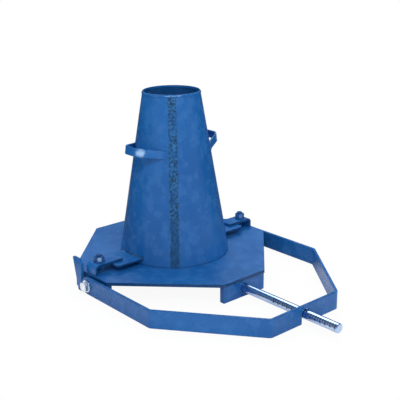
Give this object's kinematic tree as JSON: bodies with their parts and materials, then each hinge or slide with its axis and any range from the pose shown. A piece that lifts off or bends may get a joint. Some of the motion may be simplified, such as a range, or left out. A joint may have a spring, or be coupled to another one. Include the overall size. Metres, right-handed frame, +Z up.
{
  "type": "slump cone",
  "caption": "Conical steel slump mould clamped on an eight-sided base plate, with a swing bail of flat bar and a graduated tamping rod kept in the feet.",
  "frame": {"origin": "on the cone's axis at the top face of the base plate, where the sample stands", "axes": "+X along the bail's hinge to the right pivot, -Y towards the bail's bridge and the rod's free end, +Z up along the cone's axis"},
  "size_m": [0.414, 0.6, 0.336],
  "materials": {
    "blue_enamel": "glossy blue enamel over steel, a little orange peel",
    "seam_weld": "rough weld, thinly painted",
    "clamp_hardware": "dark blue enamel, rubbed bare on the nuts' flats",
    "zinc": "bright zinc plate",
    "bright_rod": "polished steel with dark engraved graduations"
  },
  "bodies": {
    "base": {"base_plate": "blue_enamel", "front_foot": "blue_enamel", "rear_foot": "blue_enamel", "left_hinge_foot": "blue_enamel", "right_hinge_foot": "blue_enamel", "foot_welds": "blue_enamel", "left_bail_stop": "blue_enamel", "left_pivot_bolt": "zinc", "right_pivot_bolt": "zinc", "pivot_spacers": "zinc", "pivot_washers": "zinc", "pivot_nuts": "zinc", "left_clamp_stud": "clamp_hardware", "right_clamp_stud": "clamp_hardware", "cone_shell": "blue_enamel", "cone_seam_weld": "seam_weld", "cone_top_rim": "blue_enamel", "left_handle": "blue_enamel", "right_handle": "blue_enamel", "handle_welds": "blue_enamel", "left_foot_tab": "blue_enamel", "right_foot_tab": "blue_enamel", "tab_welds": "blue_enamel"},
    "bail": {"bail_bar": "blue_enamel"},
    "rod": {"tamping_rod": "bright_rod"},
    "left_clamp": {"left_clamp_strap": "blue_enamel", "left_clamp_washer": "clamp_hardware"},
    "right_clamp": {"right_clamp_strap": "blue_enamel", "right_clamp_washer": "clamp_hardware"},
    "left_nut": {"left_clamp_nut": "clamp_hardware"},
    "right_nut": {"right_clamp_nut": "clamp_hardware"}
  },
  "joints": [
    {"name": "bail_swing", "type": "hinge", "parent": "base", "child": "bail", "pos_m": [0, 0, -0.0195], "axis": [-1, 0, 0], "range_deg": [0, 90]},
    {"name": "rod_slide", "type": "slide", "parent": "base", "child": "rod", "axis": [0, -1, 0], "range_m": [0, 0.4]},
    {"name": "left_clamp_swing", "type": "hinge", "parent": "base", "child": "left_clamp", "pos_m": [-0.17, 0, 0], "axis": [0, 0, 1], "range_deg": [-90, 90]},
    {"name": "right_clamp_swing", "type": "hinge", "parent": "base", "child": "right_clamp", "pos_m": [0.17, 0, 0], "axis": [0, 0, 1], "range_deg": [-90, 90]},
    {"name": "left_nut_turn", "type": "hinge", "parent": "base", "child": "left_nut", "pos_m": [-0.17, 0, 0.02], "axis": [0, 0, 1], "continuous": true},
    {"name": "right_nut_turn", "type": "hinge", "parent": "base", "child": "right_nut", "pos_m": [0.17, 0, 0.02], "axis": [0, 0, 1], "continuous": true}
  ]
}
